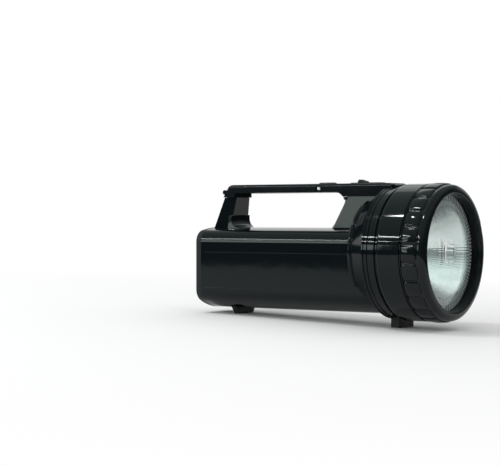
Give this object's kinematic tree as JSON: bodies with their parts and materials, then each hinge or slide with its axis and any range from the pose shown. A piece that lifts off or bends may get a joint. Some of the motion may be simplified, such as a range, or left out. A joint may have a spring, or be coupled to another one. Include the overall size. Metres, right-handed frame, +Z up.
{
  "type": "hand-held xenon stroboscope",
  "caption": "Hand-held xenon stroboscope: lantern-shaped housing with a round lamp head, top grip with thumb slider, and a rear panel with a display and two knobs.",
  "frame": {"origin": "centre of the bounding box on the ground under the two feet", "axes": "+X forward towards the lens, +Y to the operator's left, +Z up; the beam points up by about two degrees"},
  "size_m": [0.2882, 0.129, 0.1381],
  "materials": {
    "gloss_black_plastic": "smooth moulded black, high gloss",
    "ring_black_plastic": "moulded black with a soft gloss on the grip panels",
    "grip_black_plastic": "moulded black, satin gloss",
    "bezel_black_plastic": "fine matt black moulding",
    "foot_plastic": "matt black moulding",
    "clear_lens": "clear, slightly green at the edge",
    "clear_dome": "clear borosilicate",
    "quartz_glass": "clear quartz",
    "mirror_reflector": "vacuum metallised, bright",
    "black_rubber": "soft black",
    "white_ceramic": "unglazed white",
    "coil_plastic": "dark moulded bobbin",
    "copper_wire": "enamelled copper",
    "bright_steel": "polished",
    "slider_plate_plastic": "matt black",
    "slider_plastic": "matt black moulding",
    "switch_plastic": "matt black",
    "panel_plastic": "black sheet",
    "printed_label": "printed film, golden olive with blue stripes",
    "zinc_steel": "zinc plated",
    "window_plastic": "clear acrylic",
    "lcd_grey_glass": "grey-green display glass",
    "lcd_frame_plastic": "black moulding",
    "circuit_board": "green laminate",
    "brass_spacer": "turned brass",
    "turned_aluminium": "spun face, satin sides",
    "shaft_steel": "turned",
    "pot_metal": "pressed tinplate",
    "nut_steel": "nickel plated",
    "capacitor_sleeve": "dark blue sleeve",
    "ferrite": "dark grey ferrite with yellow tape",
    "battery_case": "dark grey case"
  },
  "bodies": {
    "housing": {"body_housing": "gloss_black_plastic", "head_housing": "gloss_black_plastic", "reflector": "mirror_reflector", "tube_socket": "white_ceramic", "xenon_tube": "quartz_glass", "lamp_dome": "clear_dome", "trigger_coil": "coil_plastic", "trigger_winding": "copper_wire", "grip_cover": "grip_black_plastic", "grip_pin": "bright_steel", "slider_plate": "slider_plate_plastic", "power_switch": "switch_plastic", "rear_bezel": "bezel_black_plastic", "panel_plate": "panel_plastic", "panel_label": "printed_label", "panel_screws": "zinc_steel", "lcd_window": "window_plastic", "lcd_glass": "lcd_grey_glass", "lcd_frame": "lcd_frame_plastic", "control_board": "circuit_board", "board_spacers": "brass_spacer", "fine_potentiometer": "pot_metal", "coarse_potentiometer": "pot_metal", "pot_nuts": "nut_steel", "range_switch": "switch_plastic", "power_board": "circuit_board", "board_screws": "zinc_steel", "storage_capacitor": "capacitor_sleeve", "inverter_transformer": "ferrite", "battery_pack": "battery_case", "battery_tabs": "brass_spacer", "battery_strap": "zinc_steel", "front_foot": "foot_plastic", "rear_foot": "foot_plastic"},
    "fine_dial": {"fine_knob": "turned_aluminium", "fine_shaft": "shaft_steel"},
    "coarse_dial": {"coarse_knob": "turned_aluminium", "coarse_shaft": "shaft_steel"},
    "range_selector": {"range_slider": "slider_plastic"},
    "flash_selector": {"thumb_slider": "slider_plastic"},
    "lens_unit": {"lens": "clear_lens", "lens_gasket": "black_rubber"},
    "ring": {"head_ring": "ring_black_plastic"}
  },
  "joints": [
    {"name": "fine_turn", "type": "hinge", "parent": "housing", "child": "fine_dial", "pos_m": [-0.13604, 0, 0.06815], "axis": [0.9994, 0, 0.0358], "range_deg": [-150, 150]},
    {"name": "coarse_turn", "type": "hinge", "parent": "housing", "child": "coarse_dial", "pos_m": [-0.13604, 0.0224, 0.06815], "axis": [0.9994, 0, 0.0358], "range_deg": [-150, 150]},
    {"name": "range_slide", "type": "slide", "parent": "housing", "child": "range_selector", "axis": [0, 1, 0], "range_m": [-0.004, 0]},
    {"name": "flash_slide", "type": "slide", "parent": "housing", "child": "flash_selector", "axis": [0.9994, 0, 0.0358], "range_m": [0, 0.008]},
    {"name": "lens_slide", "type": "slide", "parent": "housing", "child": "lens_unit", "axis": [0.9994, 0, 0.0358], "range_m": [0, 0.002]},
    {"name": "ring_turn", "type": "hinge", "parent": "lens_unit", "child": "ring", "pos_m": [0.12899, 0, 0.07203], "axis": [0.9994, 0, 0.0358], "range_deg": [0, 360]}
  ],
  "couplings": [
    {"joint": "lens_slide", "follows": "ring_turn", "m_per_rad": 0.000318}
  ]
}
